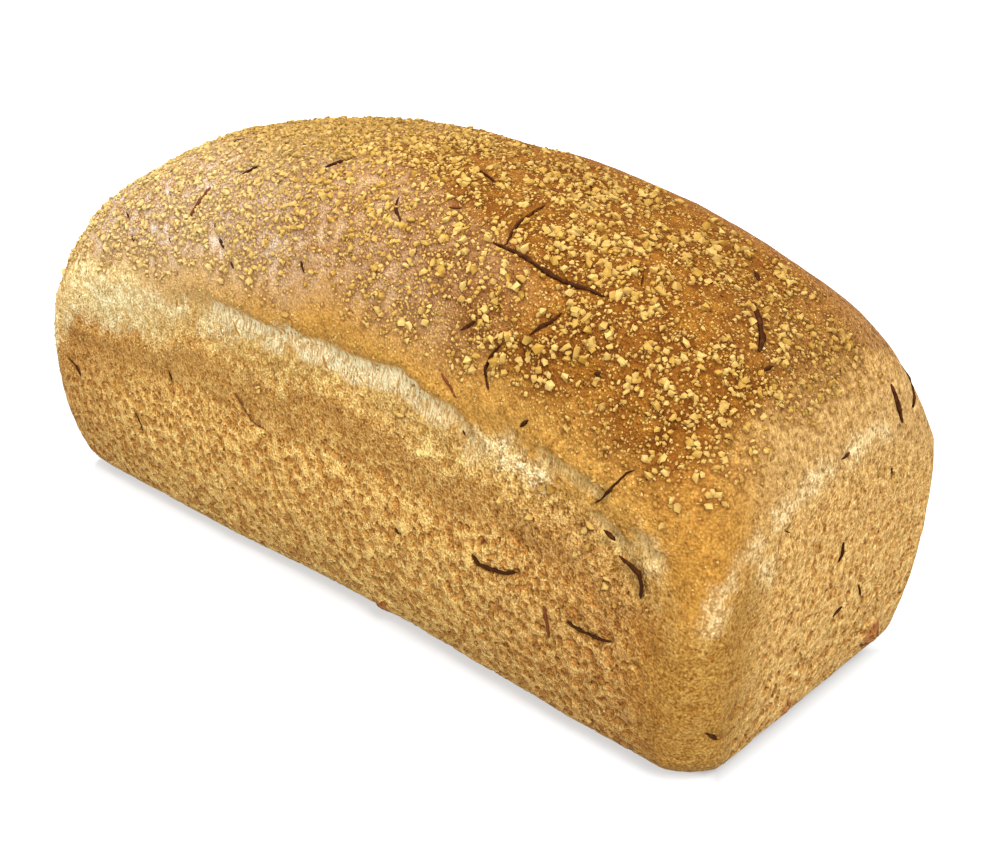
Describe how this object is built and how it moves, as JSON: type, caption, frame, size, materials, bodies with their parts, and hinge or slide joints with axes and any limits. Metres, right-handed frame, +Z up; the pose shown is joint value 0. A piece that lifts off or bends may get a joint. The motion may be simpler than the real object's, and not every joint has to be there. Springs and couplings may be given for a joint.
{
  "type": "carrot bread",
  "caption": "Tin-baked carrot loaf with a high arched crown, a torn break along its sides, and corn grits and carrot shreds baked onto its crust.",
  "frame": {"origin": "middle of the flat base, on the surface that the loaf stands on", "axes": "+X along the loaf's length, +Y across it, towards the side with no grits, +Z up"},
  "size_m": [0.241, 0.1019, 0.116],
  "materials": {
    "crust": "matte, browned",
    "corn": "matte, grainy",
    "carrot": "matte, scorched"
  },
  "bodies": {
    "root": {"loaf": "crust"}
  },
  "joints": []
}
